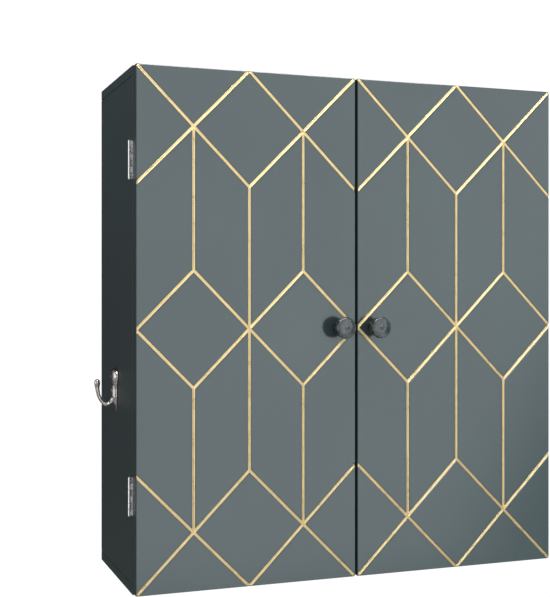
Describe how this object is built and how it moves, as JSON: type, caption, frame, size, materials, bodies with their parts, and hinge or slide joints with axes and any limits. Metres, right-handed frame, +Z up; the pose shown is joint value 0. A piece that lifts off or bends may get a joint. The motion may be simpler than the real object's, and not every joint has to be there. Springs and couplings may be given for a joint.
{
  "type": "dart board cabinet",
  "caption": "Wall-hung box cabinet whose pair of hinged doors, with an inlaid lattice of thin gold lines, shuts over a round bristle dart board.",
  "frame": {"origin": "centre of the back face, where the cabinet meets the wall", "axes": "+X to the right of someone facing the doors, -Y out of the wall towards them, +Z up"},
  "size_m": [0.6038, 0.2196, 0.61],
  "materials": {
    "door_lacquer": "satin slate lacquer on fibreboard",
    "case_lacquer": "satin slate lacquer on fibreboard",
    "black_lining": "matt black paint on fibreboard",
    "rail_wood": "bare softwood",
    "gold": "polished gold-coloured metal",
    "nickel": "bright nickel plate",
    "pewter": "pewter-coloured casting",
    "steel": "zinc-plated steel",
    "knob_lacquer": "gloss slate lacquer",
    "chalk_board": "matt chalkboard paint",
    "rubber": "matt",
    "catch_plastic": "moulded",
    "ferrite": "sintered ferrite",
    "sisal": "compressed sisal fibre",
    "chipboard": "raw chipboard",
    "band_steel": "black steel band",
    "wire_steel": "bright steel wire"
  },
  "bodies": {
    "cabinet": {"top_panel": "case_lacquer", "bottom_panel": "case_lacquer", "left_side_panel": "case_lacquer", "right_side_panel": "case_lacquer", "back_panel": "black_lining", "hanging_rail": "rail_wood", "board_bracket": "steel", "bracket_left_screw": "steel", "bracket_right_screw": "steel", "board_centre_screw": "steel", "board_backing_disc": "chipboard", "board_sisal_face": "sisal", "board_rim_band": "band_steel", "board_wire_spider": "wire_steel", "board_number_ring": "wire_steel", "board_top_pad": "rubber", "board_left_pad": "rubber", "board_right_pad": "rubber", "left_side_hook": "pewter", "left_hook_top_screw": "steel", "left_hook_bottom_screw": "steel", "left_catch_housing": "catch_plastic", "left_catch_magnet": "ferrite", "left_upper_hinge_case_leaf": "nickel", "left_upper_hinge_pin": "nickel", "left_lower_hinge_case_leaf": "nickel", "left_lower_hinge_pin": "nickel", "right_side_hook": "pewter", "right_hook_top_screw": "steel", "right_hook_bottom_screw": "steel", "right_catch_housing": "catch_plastic", "right_catch_magnet": "ferrite", "right_upper_hinge_case_leaf": "nickel", "right_upper_hinge_pin": "nickel", "right_lower_hinge_case_leaf": "nickel", "right_lower_hinge_pin": "nickel"},
    "left_door": {"left_door_panel": "door_lacquer", "left_gold_inlay": "gold", "left_scoreboard": "chalk_board", "left_scoreboard_frame": "case_lacquer", "left_dart_rack": "case_lacquer", "left_knob": "knob_lacquer", "left_knob_screw": "steel", "left_strike_plate": "steel", "left_upper_hinge_door_leaf": "nickel", "left_lower_hinge_door_leaf": "nickel", "left_top_bumper": "rubber", "left_bottom_bumper": "rubber"},
    "right_door": {"right_door_panel": "door_lacquer", "right_gold_inlay": "gold", "right_scoreboard": "chalk_board", "right_scoreboard_frame": "case_lacquer", "right_dart_rack": "case_lacquer", "right_knob": "knob_lacquer", "right_knob_screw": "steel", "right_strike_plate": "steel", "right_upper_hinge_door_leaf": "nickel", "right_lower_hinge_door_leaf": "nickel", "right_top_bumper": "rubber", "right_bottom_bumper": "rubber"}
  },
  "joints": [
    {"name": "left_door_hinge", "type": "hinge", "parent": "cabinet", "child": "left_door", "pos_m": [-0.2781, -0.1773, 0], "axis": [0, 0, -1], "range_deg": [0, 180]},
    {"name": "right_door_hinge", "type": "hinge", "parent": "cabinet", "child": "right_door", "pos_m": [0.2781, -0.1773, 0], "axis": [0, 0, 1], "range_deg": [0, 180]}
  ]
}
